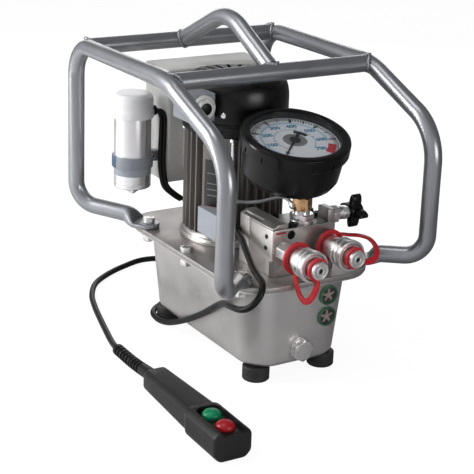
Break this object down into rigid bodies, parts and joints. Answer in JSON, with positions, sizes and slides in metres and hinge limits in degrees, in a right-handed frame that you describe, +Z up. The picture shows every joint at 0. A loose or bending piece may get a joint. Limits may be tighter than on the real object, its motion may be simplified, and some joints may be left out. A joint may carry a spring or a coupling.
{
  "type": "hydraulic power unit",
  "caption": "Portable electric hydraulic power unit: oil tank, vertical motor, manifold with couplings and gauge, tubular carrying frame and a corded hand pendant.",
  "frame": {"origin": "the middle of the footprint of everything but the pendant's cable, on the floor under the feet", "axes": "+Z up, the couplings point along -Y, +X to the right seen from the couplings' side"},
  "size_m": [0.3298, 0.5421, 0.3878],
  "materials": {
    "frame_paint": "silver-grey satin enamel",
    "zinc": "bright zinc and nickel plating, satin",
    "stainless": "brushed, satin",
    "black_rubber": "matt",
    "green_plastic": "glossy",
    "aluminium": "machined and cast, satin",
    "motor_casting": "extruded fins, warm grey paint, satin",
    "black_plastic": "moulded, satin",
    "grey_plastic": "moulded, matt",
    "white_plastic": "moulded, satin",
    "red_rubber": "satin",
    "dial_white": "printed dial, matt",
    "clear": "clear, glossy",
    "brass": "turned, satin",
    "red_plastic": "glossy"
  },
  "bodies": {
    "unit": {"hoop_left": "frame_paint", "hoop_right": "frame_paint", "cross_tube_front": "frame_paint", "cross_tube_rear": "frame_paint", "carry_handle": "frame_paint", "frame_bolt_front_left": "zinc", "frame_bolt_front_right": "zinc", "frame_bolt_rear_left": "zinc", "frame_bolt_rear_right": "zinc", "lid_bolt_left": "zinc", "lid_bolt_right": "zinc", "tank": "stainless", "lid_plate": "stainless", "foot_front_left": "black_rubber", "foot_front_right": "black_rubber", "foot_rear_left": "black_rubber", "foot_rear_right": "black_rubber", "drain_plug": "zinc", "sight_glass_upper": "green_plastic", "sight_glass_lower": "green_plastic", "pump_body": "aluminium", "motor_flange": "stainless", "motor_housing": "motor_casting", "motor_end_shield": "black_plastic", "fan_cowl": "black_plastic", "relay_box": "grey_plastic", "terminal_box": "grey_plastic", "control_box": "grey_plastic", "control_box_lid": "grey_plastic", "cable_gland": "black_plastic", "capacitor_can": "aluminium", "capacitor_cap": "white_plastic", "capacitor_clamp": "zinc", "capacitor_lead": "black_rubber", "manifold_block": "aluminium", "valve_cover": "aluminium", "valve_body": "zinc", "coupler_body_left": "zinc", "dust_strap_left": "red_rubber", "coupler_body_right": "zinc", "dust_strap_right": "red_rubber", "gauge_case": "black_plastic", "gauge_boot": "black_rubber", "gauge_dial": "dial_white", "gauge_lens": "clear", "gauge_stem": "brass", "pendant_shell": "black_plastic", "pendant_strain_relief": "black_rubber", "pendant_cable": "black_rubber"},
    "rotor": {"rotor_shaft": "zinc", "cooling_fan": "black_plastic"},
    "needle": {"gauge_needle": "black_plastic"},
    "green_button": {"button_green": "green_plastic"},
    "red_button": {"button_red": "red_plastic"},
    "left_sleeve": {"coupler_sleeve_left": "zinc"},
    "right_sleeve": {"coupler_sleeve_right": "zinc"},
    "left_plug": {"dust_plug_left": "zinc"},
    "right_plug": {"dust_plug_right": "zinc"},
    "spindle": {"valve_spindle": "zinc"},
    "knob": {"valve_knob": "black_plastic"}
  },
  "joints": [
    {"name": "motor_spin", "type": "hinge", "parent": "unit", "child": "rotor", "pos_m": [0.02494, 0.06665, 0.2], "axis": [0, 0, 1], "continuous": true},
    {"name": "gauge_sweep", "type": "hinge", "parent": "unit", "child": "needle", "pos_m": [0.02398, -0.05897, 0.27312], "axis": [0.0357, 0.2444, -0.969], "range_deg": [0, 270], "stiffness_Nm_per_rad": 0.002},
    {"name": "green_press", "type": "slide", "parent": "unit", "child": "green_button", "axis": [0, 0, -1], "range_m": [0, 0.003], "stiffness_N_per_m": 600},
    {"name": "red_press", "type": "slide", "parent": "unit", "child": "red_button", "axis": [0, 0, -1], "range_m": [0, 0.003], "stiffness_N_per_m": 600},
    {"name": "left_sleeve_slide", "type": "slide", "parent": "unit", "child": "left_sleeve", "axis": [0, 1, 0], "range_m": [0, 0.005], "stiffness_N_per_m": 1500},
    {"name": "right_sleeve_slide", "type": "slide", "parent": "unit", "child": "right_sleeve", "axis": [0, 1, 0], "range_m": [0, 0.005], "stiffness_N_per_m": 1500},
    {"name": "left_plug_pull", "type": "slide", "parent": "unit", "child": "left_plug", "axis": [0, -1, 0], "range_m": [0, 0.018]},
    {"name": "right_plug_pull", "type": "slide", "parent": "unit", "child": "right_plug", "axis": [0, -1, 0], "range_m": [0, 0.018]},
    {"name": "spindle_travel", "type": "slide", "parent": "unit", "child": "spindle", "axis": [1, 0, 0], "range_m": [0, 0.0035]},
    {"name": "valve_turn", "type": "hinge", "parent": "spindle", "child": "knob", "pos_m": [0.09894, -0.07435, 0.183], "axis": [1, 0, 0], "range_deg": [0, 1261]}
  ],
  "couplings": [
    {"joint": "valve_turn", "follows": "spindle_travel", "rad_per_m": 6283.2}
  ]
}
